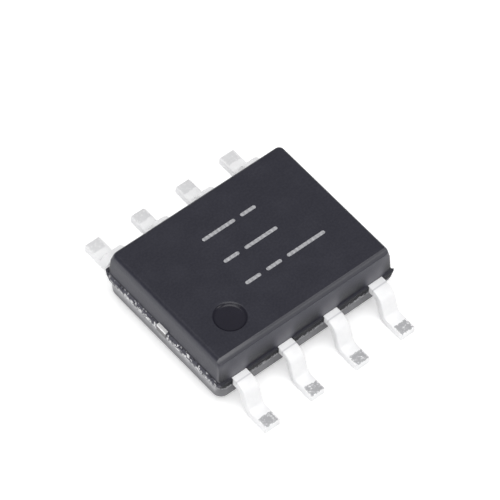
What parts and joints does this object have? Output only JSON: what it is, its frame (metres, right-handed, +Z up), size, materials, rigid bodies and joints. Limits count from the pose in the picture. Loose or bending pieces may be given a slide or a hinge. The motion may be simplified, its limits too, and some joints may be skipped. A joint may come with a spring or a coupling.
{
  "type": "small-outline integrated circuit",
  "caption": "Moulded small-outline chip with gull-wing leads on both long sides, a pin-1 dimple and a bevelled top edge; its lead frame, die and bond wires are inside.",
  "frame": {"origin": "middle of the footprint, on the plane that the lead feet stand on", "axes": "+X along the lead rows from lead 1 to lead 4, +Y across the body from leads 1 to 4 towards leads 5 to 8, +Z up from the board"},
  "size_m": [0.005, 0.006, 0.0014],
  "materials": {
    "moulding": "matte moulded epoxy",
    "tinned_lead": "matte tin plating",
    "copper_frame": "bare stamped copper",
    "silver_epoxy": "cured silver-filled epoxy",
    "silicon": "polished silicon",
    "gold_wire": "drawn gold wire"
  },
  "bodies": {
    "root": {"moulded_body": "moulding", "lead_1": "tinned_lead", "lead_2": "tinned_lead", "lead_3": "tinned_lead", "lead_4": "tinned_lead", "lead_5": "tinned_lead", "lead_6": "tinned_lead", "lead_7": "tinned_lead", "lead_8": "tinned_lead", "die_pad": "copper_frame", "die_attach": "silver_epoxy", "die": "silicon", "bond_wire_1": "gold_wire", "bond_wire_2": "gold_wire", "bond_wire_3": "gold_wire", "bond_wire_4": "gold_wire", "bond_wire_5": "gold_wire", "bond_wire_6": "gold_wire", "bond_wire_7": "gold_wire", "bond_wire_8": "gold_wire"}
  },
  "joints": []
}
